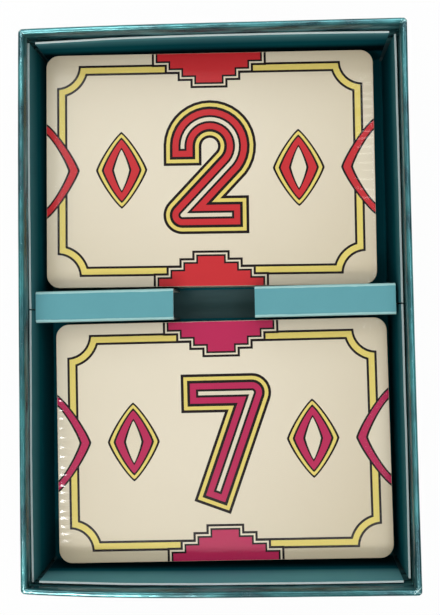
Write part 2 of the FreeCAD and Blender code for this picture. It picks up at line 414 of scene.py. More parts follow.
def paper_finish(name, base, cloud, least_roughness, cloud_size=90.0, well_shade=None):
    """A plain paper or board with fibres and a faint cloudiness, and perhaps painted shade down a well."""
    made, tree, shader = start_material(name)
    grain = place_group(tree, paper_grain, Colour=base, Cloud_Colour=cloud, Cloud_Size=cloud_size,
                        Fibre_Size=2600.0, Clouding=0.6)
    toned = grain.outputs["Colour"]
    # Painted shade down a well, blended in by the stored depth.
    if well_shade:
        toned = blend_colours(tree, stored(tree, "depth"), toned, well_shade)
    tree.links.new(toned, shader.inputs["Base Color"])
    cloudy_roughness(tree, shader, grain.outputs["Cloud"], least_roughness)
    bump(tree, shader, grain.outputs["Height"], PAPER_RELIEF)
    return made


board_finish = paper_finish("grey_board", colour(150, 147, 140), colour(112, 108, 100), 0.8)
stay_finish = paper_finish("brown_stay_paper", colour(181, 148, 104), colour(150, 116, 76), 0.7)
lining_finish = paper_finish("teal_lining_paper", colour(38, 76, 80), colour(28, 62, 66), 0.6)
print("finishes:", board_finish.name, stay_finish.name, lining_finish.name)

# %% [markdown]
# ## Mesh helpers
# The tray and the film are skins round a rounded rectangle, so both are made of loops: each loop has the
# same number of points, and faces join one loop to the next. Every piece is closed, so a check counts
# the open edges and prints them.

# %% Loops
def rounded_loop(half_x, half_y, radius, shares_x, shares_y, corner_steps):
    """Points anticlockwise round a rectangle with round corners; shares divide its straight runs."""
    signs = ((1, 1), (-1, 1), (-1, -1), (1, -1))
    points = []
    for quarter, (sign_x, sign_y) in enumerate(signs):
        middle = Vector((sign_x * (half_x - radius), sign_y * (half_y - radius)))
        for step in range(corner_steps + 1):
            angle = math.radians(90) * (quarter + step / corner_steps)
            points.append(middle + radius * Vector((math.cos(angle), math.sin(angle))))
        next_x, next_y = signs[(quarter + 1) % 4]
        run_end = Vector((next_x * (half_x - radius), next_y * (half_y - radius)))
        run_end += radius * Vector((math.cos(angle), math.sin(angle)))
        run_start = points[-1]
        points += [run_start.lerp(run_end, share) for share in (shares_y if quarter % 2 else shares_x)]
    return points


def loop_faces(loop_count, points_each, start=0):
    """Quads between neighbouring loops, and a many-sided face over the first and the last loop."""
    faces = []
    for loop in range(loop_count - 1):
        row = start + loop * points_each
        for place in range(points_each):
            after = (place + 1) % points_each
            faces.append((row + place, row + after, row + points_each + after, row + points_each + place))
    last = start + (loop_count - 1) * points_each
    faces.append(tuple(start + place for place in reversed(range(points_each))))
    faces.append(tuple(last + place for place in range(points_each)))
    return faces


print("two loops of 4 points make", len(loop_faces(2, 4)), "faces")

# %% Pieces
def make_piece(name, points, faces, finishes, body, face_finish=None, crease=40, wear_and_highlight=None,
               depth=None, sheet_places=None, stands_for=()):
    """A closed mesh piece that rides on a body of the frame."""
    mesh = bpy.data.meshes.new(name)
    mesh.from_pydata(points, [], faces)
    for finish in finishes:
        mesh.materials.append(finish)
    if face_finish:
        mesh.polygons.foreach_set("material_index", face_finish)
    for label, values in (("wear_and_highlight", wear_and_highlight), ("depth", depth)):
        if values:
            mesh.attributes.new(label, "FLOAT", "POINT").data.foreach_set("value", values)
    if sheet_places:
        flat = [part for place in sheet_places for part in (*place, 0.0)]
        mesh.attributes.new("sheet_place", "FLOAT_VECTOR", "POINT").data.foreach_set("vector", flat)
    shape = bmesh.new()
    shape.from_mesh(mesh)
    bmesh.ops.recalc_face_normals(shape, faces=shape.faces)
    open_edges = sum(1 for edge in shape.edges if len(edge.link_faces) != 2)
    shape.to_mesh(mesh)
    shape.free()
    mesh.shade_smooth()
    mesh.set_sharp_from_angle(angle=math.radians(crease))
    made = bpy.data.objects.new(name, mesh)
    scene.collection.objects.link(made)
    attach(made, body)
    if stands_for:
        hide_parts(*stands_for)
    print(name, "points:", len(points), "open edges:", open_edges)


print("piece helper ready")

# %% [markdown]
# ## The tray
# A real tray is four board walls held by paper stays at the corners, with foil paper glued over the
# outside, turned over the rim and down the inside. Its walls aren't quite straight: the rim stands a
# little further out in the middle of each side than at the corners. The same bow is applied to the
# board, the stays and the wrap, so that they stay on each other.
# A bevelled box could stand for all this. The seams, the mitre folds and the turned-in edge need points
# of their own, though, so the wrap is a skin whose loops follow the section of the wall.

# %% Bow of the walls
WALL = 1.5 * MM
PAPER = 0.15 * MM
TRAY_CORNER = 1.0 * MM
LEAST_CORNER = 0.1 * MM
TURN_IN_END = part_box("tray_liner")[1].z
CORNER_PULL = {
    (-1, 1): Vector((0.35, 0.45)) * MM,
    (1, 1): Vector((-0.25, 0.0)) * MM,
    (-1, -1): Vector((0.1, 1.1)) * MM,
    (1, -1): Vector((-0.15, -0.2)) * MM,
}
NEAR_END_SWELL = 0.3 * MM
BOW_POWER = 2.5


def bowed(point):
    """Draws each corner of the rim in or out by its own pull, which fades along the sides."""
    rise = max(0.0, (point.z - TURN_IN_END) / (RIM - TURN_IN_END)) ** 1.3
    across, along = point.x / tray_half.x, point.y / tray_half.y
    pull = CORNER_PULL[(1 if across > 0 else -1, 1 if along > 0 else -1)] * rise
    swell = NEAR_END_SWELL * rise * max(0.0, 1 - across ** 2) if along < 0 else 0.0
    pull_x = pull.x * abs(along) ** BOW_POWER
    pull_y = pull.y * abs(across) ** BOW_POWER - swell
    return Vector((point.x - across * pull_x, point.y - along * pull_y, point.z))


print("turn-in ends at", round(TURN_IN_END / MM, 2), "mm")

# %% Outline of the tray at any depth in its wall
CORNER_STEPS = 6
TRAY_SPACING = 1.0 * MM
SEAM_FROM_CORNER = 0.5 * MM
SEAM_WIDTH = 0.06 * MM


def even_shares(length, spacing):
    """Shares that divide a run of that length into nearly equal steps, with a last one close to its end."""
    steps = max(2, round(length / spacing))
    return [step / steps for step in range(1, steps)] + [1 - 0.1 / steps]


end_run = 2 * (tray_half.x - TRAY_CORNER)
side_run = 2 * (tray_half.y - TRAY_CORNER)
seam_shares = [SEAM_FROM_CORNER / end_run, (SEAM_FROM_CORNER + SEAM_WIDTH) / end_run]
end_shares = sorted(seam_shares + [1 - share for share in seam_shares] + even_shares(end_run, TRAY_SPACING))
side_shares = even_shares(side_run, TRAY_SPACING)


def tray_loop(inset, height):
    """The tray's outline, inset from its outer face, as points at that height."""
    radius = max(TRAY_CORNER - inset, LEAST_CORNER)
    flat = rounded_loop(tray_half.x - inset, tray_half.y - inset, radius,
                        end_shares, side_shares, CORNER_STEPS)
    return [Vector((point.x, point.y, height)) for point in flat]


print("points in a loop:", len(tray_loop(0, 0)))

# %% Profile of a wall, from under the base over the rim and down inside
RIM_ROUND = 0.5 * MM
BASE_ROUND = 0.5 * MM
BASE_MARGIN = 8 * MM
WALL_STEPS = 9


def quarter_round(middle_inset, middle_height, radius, start_angle, steps=4):
    """Places on a quarter turn; angles run from the outer side (180) over the top (90) to the inner (0)."""
    turn = [math.radians(start_angle - 90 * step / steps) for step in range(steps + 1)]
    return [(middle_inset + radius * math.cos(angle), middle_height + radius * math.sin(angle))
            for angle in turn]


def wall_profile(skin, inner_end):
    """(inset, height) places round a wall whose faces lie that far inside the tray's outer faces."""
    rim_round = RIM_ROUND - skin
    base_round = BASE_ROUND - skin
    straight = RIM - RIM_ROUND - BASE_ROUND
    rising = [BASE_ROUND + straight * step / WALL_STEPS for step in range(1, WALL_STEPS)]
    falling = [height for height in reversed(rising) if height > inner_end + RIM_ROUND]
    places = [(BASE_MARGIN, skin)]
    for turn in (math.radians(angle) for angle in (0, 30, 60, 90)):
        places.append((BASE_ROUND - base_round * math.sin(turn), BASE_ROUND - base_round * math.cos(turn)))
    places += [(skin, height) for height in rising]
    places += quarter_round(RIM_ROUND, RIM - RIM_ROUND, rim_round, 180)
    places += quarter_round(WALL - RIM_ROUND, RIM - RIM_ROUND, rim_round, 90)
    places += [(WALL - skin, height) for height in falling] + [(WALL - skin, inner_end)]
    return places


outer_profile = wall_profile(0, TURN_IN_END)
inner_profile = wall_profile(PAPER, TURN_IN_END)
print("places round the wall:", len(outer_profile))

# %% Unevenness of the foil wrap
END_PANEL_PROUD = 0.07 * MM
MITRE_DEPTH = 0.15 * MM
NEAR_WALL = 2.2 * MM
UNEVEN, RIM_UNEVEN = 0.03 * MM, 0.09 * MM
WALL_WAVES, RIM_WAVES, RIM_RIPPLES = 110, 75, 330
LEFT_RIM_SLANT = 0.11 * MM


def pushed_out(point, distance):
    """A point of a wall moved away from the tray's middle."""
    moved = point.copy()
    if tray_half.x - abs(point.x) < NEAR_WALL:
        moved.x += math.copysign(distance, point.x)
    if tray_half.y - abs(point.y) < NEAR_WALL:
        moved.y += math.copysign(distance, point.y)
    return moved


def foil_point(point, inset, mitred):
    """A point of the wrap's outer skin with its seam step, mitre crease and slight unevenness."""
    end_panel = tray_half.y - abs(point.y) < NEAR_WALL and abs(point.x) < end_run / 2 - SEAM_FROM_CORNER
    lift = END_PANEL_PROUD if end_panel and inset < WALL / 2 else 0.0
    above = max(0.0, 1 - (RIM - point.z) / (2 * RIM_ROUND))
    moved = pushed_out(point, lift * (1 - above) + UNEVEN * noise.noise(point * WALL_WAVES))
    ripple = noise.noise(point * RIM_WAVES) + 0.7 * noise.noise(point * RIM_RIPPLES)
    moved.z += above * RIM_UNEVEN * ripple
    if point.x < -tray_half.x + NEAR_WALL:
        from_middle = point.y / tray_half.y
        slant = (inset / WALL - 0.5) * (1 - from_middle ** 4) * (0.5 - from_middle)
        moved.z -= above * LEFT_RIM_SLANT * slant
    if mitred:
        moved.z -= above * MITRE_DEPTH
    return bowed(moved)


print("the rim rises and falls by", RIM_UNEVEN / MM, "mm")

# %% Where the foil is rubbed, and where it is even
RUBBED_RIM, RUBBED_CORNER, RUBBED_FOLD = 1.2 * MM, 7 * MM, 0.45 * MM
EVEN_FROM_RIM = 3 * MM


def foil_wear(point):
    """How rubbed the foil is: a little along the rim, more at the corners, most on the mitre folds."""
    at_rim = max(0.0, 1 - (RIM - point.z) / RUBBED_RIM)
    from_side, from_end = tray_half.x - abs(point.x), tray_half.y - abs(point.y)
    at_corner = max(0.0, 1 - (from_side + from_end) / RUBBED_CORNER)
    on_mitre = max(0.0, 1 - abs(from_side - from_end) / RUBBED_FOLD)
    return at_rim * (0.8 + 0.5 * at_corner + 0.6 * on_mitre)


def off_rim(point, inset):
    """0 on the rim and inside it, and 1 on the outer walls a little below the rim."""
    below = (RIM - RIM_ROUND - point.z) / EVEN_FROM_RIM
    return min(1.0, max(0.0, below)) if inset < WALL / 2 else 0.0


print("rubbed for", RUBBED_RIM / MM, "mm below the rim")

# %% Foil wrap
def distances(points):
    """How far along a line each of its points lies."""
    found = [0.0]
    for here, there in zip(points, points[1:]):
        found.append(found[-1] + (Vector(there) - Vector(here)).length)
    return found


points, wear_and_highlight, depths, sheet_places, turned_in = [], [], [], [], []
along_rim = distances(tray_loop(0, 0))
across_wall = distances(outer_profile)
loop_length = len(tray_loop(0, 0))
mitres, corner_start = set(), 0
for run_shares in (end_shares, side_shares, end_shares, side_shares):
    mitres.add(corner_start + CORNER_STEPS // 2)
    corner_start += CORNER_STEPS + 1 + len(run_shares)
for (inset, height), across in zip(outer_profile, across_wall):
    sheet_places += [(along, across) for along in along_rim]
    for place, point in enumerate(tray_loop(inset, height)):
        points.append(foil_point(point, inset, place in mitres))
        wear_and_highlight.append(foil_wear(point))
        depths.append(off_rim(point, inset))
    turned_in += [1 if inset > WALL - 0.1 * RIM_ROUND else 0] * loop_length
for inset, height in reversed(inner_profile):
    points += [bowed(point) for point in tray_loop(inset, height)]
    wear_and_highlight += [0.0] * loop_length
    depths += [0.0] * loop_length
    turned_in += [1] * loop_length
    sheet_places += [(along, height) for along in along_rim]
loops = len(outer_profile) + len(inner_profile)
# There is one row of faces less than there are loops, and the last two faces are the sheet under the base.
turned_in[-loop_length:] = [0, 1]
make_piece("wrap_skin", points, loop_faces(loops, loop_length), [foil_finish, turned_in_finish],
           "tray", face_finish=turned_in, wear_and_highlight=wear_and_highlight, depth=depths,
           sheet_places=sheet_places, stands_for=["foil_wrap"])

# %% Board walls and base
board_profile = wall_profile(1.8 * PAPER, WALL - PAPER)
board_points = []
for inset, height in board_profile + [(BASE_MARGIN, WALL - PAPER)]:
    board_points += [bowed(point) for point in tray_loop(inset, height)]
board_faces = loop_faces(len(board_profile) + 1, loop_length)
make_piece("board_walls", board_points, board_faces, [board_finish], "tray",
           stands_for=["tray_board"])

# %% Corner stays
STAY = 0.1 * MM
STAY_LEG = 12 * MM
stay_low, stay_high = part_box("corner_stays")


def stay_path(inset, sign_x, sign_y):
    """The tray's outline round one corner, as far as a stay's two legs reach."""
    radius = max(TRAY_CORNER - inset, LEAST_CORNER)
    middle = Vector((tray_half.x - inset - radius, tray_half.y - inset - radius))
    lengths = [STAY_LEG * step / 6 for step in range(6, 0, -1)]
    turns = [math.radians(angle) for angle in (0, 30, 60, 90)]
    path = [Vector((tray_half.x - inset, tray_half.y - length)) for length in lengths]
    path += [middle + radius * Vector((math.cos(turn), math.sin(turn))) for turn in turns]
    path += [Vector((tray_half.x - length, tray_half.y - inset)) for length in reversed(lengths)]
    return [Vector((sign_x * place.x, sign_y * place.y)) for place in path]


stay_heights = [stay_low.z + (stay_high.z - stay_low.z) * step / 10 for step in range(11)]
stay_points, stay_faces = [], []
for sign_x, sign_y in CORNER_PULL:
    section = stay_path(PAPER, sign_x, sign_y) + stay_path(PAPER + STAY, sign_x, sign_y)[::-1]
    stay_faces += loop_faces(len(stay_heights), len(section), len(stay_points))
    for height in stay_heights:
        stay_points += [bowed(Vector((place.x, place.y, height))) for place in section]
make_piece("paper_stays", stay_points, stay_faces, [stay_finish], "tray",
           stands_for=["corner_stays"])

# %% [markdown]
# ## The insert
# One sheet of printed board is cut, creased and folded: four walls stand up from the floor, cut apart
# at the corners, and a raised divider with a finger notch crosses the middle. A fold is never sharp, so a
# sheet is drawn as a line with round folds, given its thickness and drawn out along the fold. The walls
# are only held by their folds, so they lean in a little, most at their free corners. Modifiers could
# thicken and round flat panels, but a drawn section gives each fold its own radius and each wall its own
# lean. Shade is painted into the print: it darkens towards the bottom of the wells, to near black beside
# the cards and at the notch's open ends, the side walls are painted darker all over, and the cut edges
# darken too. The divider's long folds are painted pale, for rubbed print and for the highlight that the
# round folds catch.

# %% Finishes of the insert
PRINTED = colour(103, 163, 170)
PRINTED_CLOUD = colour(84, 142, 150)
# Painted shade: the print darkens down the wells to a dark teal, and to near black beside the cards.
PAINTED_WELL_SHADE = colour(12, 78, 88)
PAINTED_CONTACT_SHADOW = colour(4, 26, 30)
RUBBED_AND_HIGHLIT_PRINT = colour(168, 212, 210)
PRINT_RELIEF = 0.012 * MM

printed_board, tree, shader = start_material("printed_teal_board")
grain = place_group(tree, paper_grain, Colour=PRINTED, Cloud_Colour=PRINTED_CLOUD, Cloud_Size=120.0,
                    Fibre_Size=3200.0, Clouding=0.5)
depth = stored(tree, "depth")
# Painted shade by the stored depth, and a painted contact shadow where that depth passes 1.
well_shaded = blend_colours(tree, calculate(tree, "MULTIPLY", depth, 1.2), grain.outputs["Colour"], PAINTED_WELL_SHADE)
contact_shadow_share = calculate(tree, "SUBTRACT", depth, 1.0)
toned = blend_colours(tree, calculate(tree, "MULTIPLY", contact_shadow_share, 4.0), well_shaded, PAINTED_CONTACT_SHADOW)
# Rubbed print on the divider's folds, together with a painted highlight for their round folds.
rub_and_highlight = place_group(tree, edge_wear_and_highlight, Edge=stored(tree, "wear_and_highlight"), Amount=2.0, Size=160.0)
rubbed = blend_colours(tree, rub_and_highlight.outputs["Mask"], toned, RUBBED_AND_HIGHLIT_PRINT)
tree.links.new(rubbed, shader.inputs["Base Color"])
cloudy_roughness(tree, shader, grain.outputs["Cloud"], 0.5, 0.14)
shader.inputs["Specular IOR Level"].default_value = 0.0
bump(tree, shader, grain.outputs["Height"], PRINT_RELIEF, 0.6)
board_back = paper_finish("board_back", colour(206, 204, 194), colour(176, 174, 164), 0.75)
# The cut edges darken with painted shade down the wells.
cut_board = paper_finish("cut_board_edge", colour(222, 236, 234), colour(188, 206, 204), 0.7,
                         cloud_size=400.0, well_shade=colour(60, 88, 88))
insert_finishes = [printed_board, board_back, cut_board]
print("finishes:", [finish.name for finish in insert_finishes])

# %% A folded sheet seen end-on
def fold_line(corners, radius, steps=5):
    """A sheet seen end-on: (place, normal) pairs along its middle, with a round fold at each corner."""
    line = []
    for here in range(len(corners)):
        corner = Vector(corners[here])
        if here in (0, len(corners) - 1):
            other = Vector(corners[1 if here == 0 else here - 1])
            run = (other - corner if here == 0 else corner - other).normalized()
            line.append((corner, Vector((-run.y, run.x))))
            continue
        before = (Vector(corners[here - 1]) - corner).normalized()
        after = (Vector(corners[here + 1]) - corner).normalized()
        for step in range(steps + 1):
            turn = math.radians(90) * step / steps
            run = after * math.sin(turn) - before * math.cos(turn)
            place = corner + radius * (before + after - after * math.cos(turn) - before * math.sin(turn))
            line.append((place, Vector((-run.y, run.x))))
    return line


def divided(line, most):
    """The same line with its long straight runs divided, so that a wall can lean and bow."""
    full = [line[0]]
    for (start, normal), (end, next_normal) in zip(line, line[1:]):
        steps = max(1, math.ceil((end - start).length / most))
        full += [(start.lerp(end, step / steps), normal.lerp(next_normal, step / steps).normalized())
                 for step in range(1, steps + 1)]
    return full


print("places along a sheet with one fold:", len(fold_line([(0, 0), (1, 0), (1, 1)], 0.1)))

# %% A sheet drawn out along its fold
def sheet_mesh(line, thickness, stations, lay):
    """A folded sheet drawn out along its fold: points, faces and which finish each face has."""
    points = []
    for station in stations:
        for side in (0.5, -0.5):
            points += [lay(place + normal * thickness * side, station) for place, normal in line]
    count = len(line)
    faces, finish = [], []
    for row in range(len(stations) - 1):
        here, there = 2 * count * row, 2 * count * (row + 1)
        for step in range(count - 1):
            faces.append((here + step, here + step + 1, there + step + 1, there + step))
            back, back_there = here + count + step, there + count + step
            faces.append((back, back_there, back_there + 1, back + 1))
            finish += [0, 1]
        for end in (0, count - 1):
            faces.append((here + end, there + end, there + count + end, here + count + end))
            finish.append(2)
    for row in (0, len(stations) - 1):
        here = 2 * count * row
        for step in range(count - 1):
            faces.append((here + step, here + step + 1, here + count + step + 1, here + count + step))
            finish.append(2)
    return points, faces, finish


def stations_between(start, end, spacing):
    """Evenly spaced places from start to end."""
    steps = max(1, round(abs(end - start) / spacing))
    return [start + (end - start) * step / steps for step in range(steps + 1)]


print("stations along 10 mm at every 3 mm:", len(stations_between(0, 10, 3)))

# %% How a wall of the insert stands
SHEET = 0.5 * MM
FOLD_RADIUS = 0.65 * MM
SHEET_STEP = 3.0 * MM
SHEET_WAVE = 0.06 * MM
CORNER_SLIT = 0.6 * MM

floor_middle = insert_low.z + SHEET / 2
insert_rise = INSERT_EDGE - insert_low.z
end_reach = insert_half.x - SHEET - CORNER_SLIT
side_reach = insert_half.y - SHEET - CORNER_SLIT
insert_mesh = ([], [], [])


def add_sheet(line, stations, lay):
    """Adds one folded sheet to the insert's mesh."""
    points, faces, finish = sheet_mesh(line, SHEET, stations, lay)
    start = len(insert_mesh[0])
    insert_mesh[0].extend(points)
    insert_mesh[1].extend(tuple(start + corner for corner in face) for face in faces)
    insert_mesh[2].extend(finish)


def wall_line(floor_start, wall_middle):
    """A wall seen end-on: from a place on the floor, round the fold and up to the free edge."""
    corners = [(floor_start, floor_middle), (wall_middle, floor_middle), (wall_middle, INSERT_EDGE)]
    return divided(fold_line(corners, FOLD_RADIUS), SHEET_STEP)


def leaning(outwards, first_lean, middle_lean, last_lean, first, last, taper=0.0):
    """A way to lay a wall's sheet: outwards turns it to its side, and the leans draw its top edge in."""
    def lay(place, station):
        share = 2 * (station - first) / (last - first) - 1
        height = max(0.0, (place.y - insert_low.z) / insert_rise)
        station -= share * taper * height
        end_lean = first_lean if share < 0 else last_lean
        lean = middle_lean + (end_lean - middle_lean) * share ** 2
        lean += SHEET_WAVE * noise.noise(Vector((station * 90, place.y * 60, first * 50)))
        return outwards(place.x - lean * height ** 1.6, station, place.y)
    return lay


print("the walls rise by", round(insert_rise / MM, 2), "mm")

# %% End walls of the insert
DIVIDER_MIDDLE = 0.8 * MM
DIVIDER_HALF = 4.0 * MM
END_TAPER = 0.9 * MM
# How far a wall's top edge leans in: at its first end, in its middle and at its last end.
ends = {
    1: (0.9 * MM, -0.05 * MM, 0.3 * MM),
    -1: (0.9 * MM, -0.1 * MM, 0.1 * MM),
}
for sign, leans in ends.items():
    line = wall_line(sign * DIVIDER_MIDDLE + DIVIDER_HALF, insert_half.y - SHEET / 2)
    lay = leaning(lambda out, along, up, sign=sign: Vector((along, sign * out, up)), *leans,
                  -end_reach, end_reach, END_TAPER)
    add_sheet(line, stations_between(-end_reach, end_reach, SHEET_STEP), lay)
print("end walls:", len(ends))

# %% Side walls of the insert
FLAP_SLIT = 0.4 * MM
FLAP_SLIT_MIDDLE = -0.25 * MM
sides = {
    (1, 1): (0.25 * MM, 0.2 * MM, 0.25 * MM),
    (1, -1): (0.25 * MM, 0.2 * MM, 0.25 * MM),
    (-1, 1): (0.0 * MM, -0.12 * MM, 0.0 * MM),
    (-1, -1): (0.15 * MM, -0.08 * MM, 0.0 * MM),
}
for (sign, half), leans in sides.items():
    slit_side = FLAP_SLIT_MIDDLE + half * FLAP_SLIT / 2
    first, last = sorted((slit_side, half * side_reach))
    line = wall_line(end_reach, insert_half.x - SHEET / 2)
    lay = leaning(lambda out, along, up, sign=sign: Vector((sign * out, along, up)), *leans, first, last)
    add_sheet(line, stations_between(first, last, SHEET_STEP), lay)
print("side walls:", len(sides))

# %% Divider
DIVIDER_TOP = 27.74 * MM
DIVIDER_FOLD = 0.85 * MM
DIVIDER_TURN = math.radians(0.4)
NOTCH = (-11.2 * MM, 9.95 * MM)
DIVIDER_ENDS = (-47.1 * MM, 46.3 * MM)
NEAR_BULGE = 0.15 * MM
SAG = 0.15 * MM


def divider_middle(along):
    """Where the divider's middle lies, at a place along it."""
    return DIVIDER_MIDDLE + DIVIDER_TURN * along


def lay_divider(place, station):
    """A divider block, slightly hollow along its top and not quite square in the tray."""
    block = 0 if station < 0 else 1
    share = (station - NOTCH[block]) / (DIVIDER_ENDS[block] - NOTCH[block])
    height = max(0.0, (place.y - insert_low.z) / (DIVIDER_TOP - insert_low.z))
    sink = SAG * 4 * share * (1 - share) * height ** 3
    return Vector((station, place.x + divider_middle(station), place.y - sink))


divider_wall = DIVIDER_HALF - SHEET / 2
near_divider_wall = -divider_wall - NEAR_BULGE
divider_line = divided(fold_line([
    (near_divider_wall, insert_low.z), (near_divider_wall, DIVIDER_TOP - SHEET / 2),
    (divider_wall, DIVIDER_TOP - SHEET / 2), (divider_wall, insert_low.z)], DIVIDER_FOLD), SHEET_STEP)
for notch_side, outer_end in zip(NOTCH, DIVIDER_ENDS):
    add_sheet(divider_line, stations_between(notch_side, outer_end, SHEET_STEP), lay_divider)
print("finger notch:", round((NOTCH[1] - NOTCH[0]) / MM, 2), "mm")

# %% Where the insert's print is rubbed, with a painted highlight on the folds
# How far from the divider's folds the print is rubbed and painted pale for the highlight they catch.
FOLD_WEAR_AND_HIGHLIGHT = 0.9 * MM
END_ROOM = 0.02 * MM


def on_divider(point):
    """True for the points of the divider's two blocks."""
    within = DIVIDER_ENDS[0] - END_ROOM < point.x < DIVIDER_ENDS[1] + END_ROOM
    return within and abs(point.y - divider_middle(point.x)) < DIVIDER_HALF + 2 * NEAR_BULGE


def fold_wear_and_highlight(point):
    """How rubbed the print is, with a painted highlight: only on the two long folds of the divider."""
    if not on_divider(point) or point.z < DIVIDER_TOP - FOLD_WEAR_AND_HIGHLIGHT:
        return 0.0
    across = point.y - divider_middle(point.x)
    from_fold = min(abs(across - DIVIDER_HALF), abs(across + DIVIDER_HALF + NEAR_BULGE))
    return max(0.0, 1 - from_fold / FOLD_WEAR_AND_HIGHLIGHT)


print("rubbed within", FOLD_WEAR_AND_HIGHLIGHT / MM, "mm of the divider's folds")

# %% Painted shade in the wells
CARD_LEVEL = 16.5 * MM
BESIDE_CARDS = 5 * MM
PALE_FOLD = 1.2 * MM
# Amounts of painted shade: on the side walls all over, on the far wall above and beside the cards, and on
# the near wall mostly low down.
SIDE_WALL_PAINTED_SHADE, FAR_WALL_PAINTED_SHADE, NEAR_WALL_PAINTED_SHADE = 0.45, 0.32, 1.15
SIDE_WALL_ROOM, END_WALL_ROOM, NOTCH_ROOM = 1.2 * MM, 1.6 * MM, 0.05 * MM


def well_painted_shade(point):
    """Painted shade at a point: 0 at the edge and 1 at the top card, with its own amounts on the side, far
    and near walls and at the notch.
    """
    on_side = insert_half.x - abs(point.x) < SIDE_WALL_ROOM and not on_divider(point)
    on_end = insert_half.y - abs(point.y) < END_WALL_ROOM
    top = DIVIDER_TOP - PALE_FOLD if on_divider(point) else INSERT_EDGE
    depth = min(1.0, max(0.0, (top - point.z) / (top - CARD_LEVEL)))
    # Painted shade: side walls darker all over, a painted shadow low on the far and near walls, and dark
    # open ends at the notch.
    if on_side:
        return depth + SIDE_WALL_PAINTED_SHADE * (1 - depth)
    if on_end and point.y > 0 and depth > 0:
        return depth + FAR_WALL_PAINTED_SHADE if point.z > CARD_LEVEL - BESIDE_CARDS else depth
    if on_end and point.y < 0:
        return depth ** 4 * NEAR_WALL_PAINTED_SHADE
    at_notch = min(abs(point.x - side) for side in NOTCH) < NOTCH_ROOM
    return depth + 1.0 if at_notch and depth > 0 and not on_end else depth


print("top cards at", CARD_LEVEL / MM, "mm")

# %% The whole insert
insert_points, insert_faces, insert_face_finish = insert_mesh
# The stored depth carries the insert's painted shade; the stored number for rubbing carries its painted
# fold highlight too.
make_piece("insert_sheet", insert_points, insert_faces, insert_finishes, "insert",
           face_finish=insert_face_finish, wear_and_highlight=[fold_wear_and_highlight(point) for point in insert_points],
           depth=[well_painted_shade(point) for point in insert_points], stands_for=["card_insert"])

# %% The lining keeps its solid
nodes["tray_liner"].data.materials.clear()
nodes["tray_liner"].data.materials.append(lining_finish)
print("finished solid:", "tray_liner")

# %% [markdown]
# ## The cards
# Each deck is a stack of separate cards, and the CAD solids already have their shape. Their finish has
# to show two things: a smooth cream face, darkened away from a lit middle by painted shade, and at the
# sides the fine lines of many card edges. The lines could be cut as grooves, but they are much finer than
# the rest of the model, so they are a pattern that follows the height, one line for each card.

# %% Painted shade on the card faces
CREAM = colour(231, 220, 197)
CREAM_CLOUD = colour(212, 199, 172)
# Painted shade: each face darkens to this browner cream away from a lit middle in its deck.
SHADED_CREAM = colour(196, 178, 142)
DECK_FROM_MIDDLE = 32 * MM
LIGHT_X, LIGHT_Y = -7 * MM, 10.5 * MM
SHADE_REACH_X, SHADE_REACH_Y = 46 * MM, 40 * MM

card_stock, tree, shader = start_material("cream_card")
where = add_node(tree, "ShaderNodeSeparateXYZ", {0: object_place(tree)}).outputs
off_x = calculate(tree, "DIVIDE", calculate(tree, "SUBTRACT", where[0], LIGHT_X), SHADE_REACH_X)
either_deck = calculate(tree, "ABSOLUTE", calculate(tree, "SUBTRACT", where[1], LIGHT_Y))
off_y = calculate(tree, "DIVIDE", calculate(tree, "SUBTRACT", either_deck, DECK_FROM_MIDDLE), SHADE_REACH_Y)
off_x_squared = calculate(tree, "MULTIPLY", off_x, off_x)
off_middle = calculate(tree, "MULTIPLY_ADD", off_y, off_y, off_x_squared)
# The share of painted shade grows away from the lit middle.
painted_shade_share = rescale(tree, off_middle, 0.1, 1.8, 0.0, 0.75)
grain = place_group(tree, paper_grain, Colour=blend_colours(tree, painted_shade_share, CREAM, SHADED_CREAM),
                    Cloud_Colour=CREAM_CLOUD, Cloud_Size=40.0, Fibre_Size=3000.0, Clouding=0.4)
print("finish:", card_stock.name)

# %% Lines of the card edges
CARD = 0.31 * MM
CARD_GAP = colour(96, 84, 66)
CARD_RELIEF = 0.008 * MM

card_sets = sorted(name for name in nodes if "_set_" in name)
lowest_card = min(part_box(name)[0].z for name in card_sets)
layer = calculate(tree, "DIVIDE", calculate(tree, "SUBTRACT", where[2], lowest_card), CARD)
from_card_middle = calculate(tree, "SUBTRACT", calculate(tree, "FRACT", layer), 0.5)
gap = rescale(tree, calculate(tree, "ABSOLUTE", from_card_middle), 0.34, 0.5)
facing = add_node(tree, "ShaderNodeNewGeometry").outputs["True Normal"]
upright = add_node(tree, "ShaderNodeSeparateXYZ", {0: facing}).outputs[2]
side = calculate(tree, "LESS_THAN", calculate(tree, "ABSOLUTE", upright), 0.5)
shade = calculate(tree, "MULTIPLY", calculate(tree, "MULTIPLY", gap, side), 0.75)
lined = blend_colours(tree, shade, grain.outputs["Colour"], CARD_GAP)
tree.links.new(lined, shader.inputs["Base Color"])
shader.inputs["Roughness"].default_value = 0.45
bump(tree, shader, grain.outputs["Height"], CARD_RELIEF, 0.5)
for name in card_sets:
    nodes[name].data.materials.clear()
    nodes[name].data.materials.append(card_stock)
print("card sets:", len(card_sets), "lowest card at", round(lowest_card / MM, 2), "mm")

# %% [markdown]
# ## Print on the top cards
# The face has a gold frame with scooped corners, a large plain number between two lozenges, and stepped
# and half-lozenge ornaments at the edges. Ink has a little thickness of its own, so each colour is a thin
# closed plate, and plates stack: a wider dark plate under a narrower coloured one leaves an even outline.
# A picture on the card could do the same, but plates stay sharp from any distance and need no file.

# %% Inks
INK_RELIEF = 0.006 * MM


